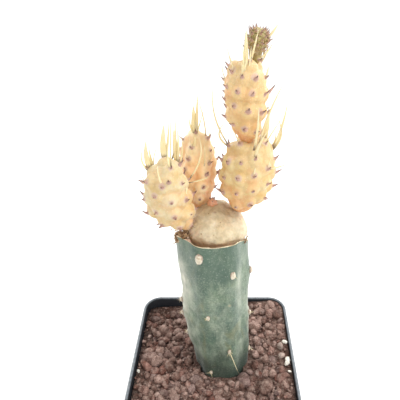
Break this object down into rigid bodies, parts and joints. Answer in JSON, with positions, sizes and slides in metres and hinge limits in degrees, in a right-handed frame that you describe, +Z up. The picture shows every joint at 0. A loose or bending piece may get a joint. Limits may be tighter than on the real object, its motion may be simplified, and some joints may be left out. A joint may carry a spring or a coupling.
{
  "type": "potted variegated paper spine cactus",
  "caption": "Grafted paper spine cactus with cream and orange egg-shaped segments on a green rootstock, in a square plastic pot with gravel.",
  "frame": {"origin": "middle of the pot's base, on the surface that it stands on", "axes": "+Z up, +X to the right and +Y away from the viewer of the picture"},
  "size_m": [0.08, 0.08, 0.2307],
  "materials": {
    "pot_plastic": "satin",
    "potting_mix": "matte",
    "lava_gravel": "matte",
    "rootstock_skin": "satin",
    "dried_tissue": "matte",
    "scion_skin": "satin",
    "bud_skin": "satin",
    "cream_skin": "satin",
    "coral_skin": "satin",
    "golden_skin": "satin",
    "amber_skin": "satin",
    "olive_skin": "matte"
  },
  "bodies": {
    "root": {"pot": "pot_plastic", "potting_mix": "potting_mix", "gravel": "lava_gravel", "rootstock": "rootstock_skin", "dried_tuft": "dried_tissue", "scion_base": "scion_skin", "new_bud": "bud_skin", "segment_left": "cream_skin", "segment_back": "coral_skin", "segment_right": "golden_skin", "segment_upper": "amber_skin", "shoot_tip": "olive_skin"}
  },
  "joints": []
}
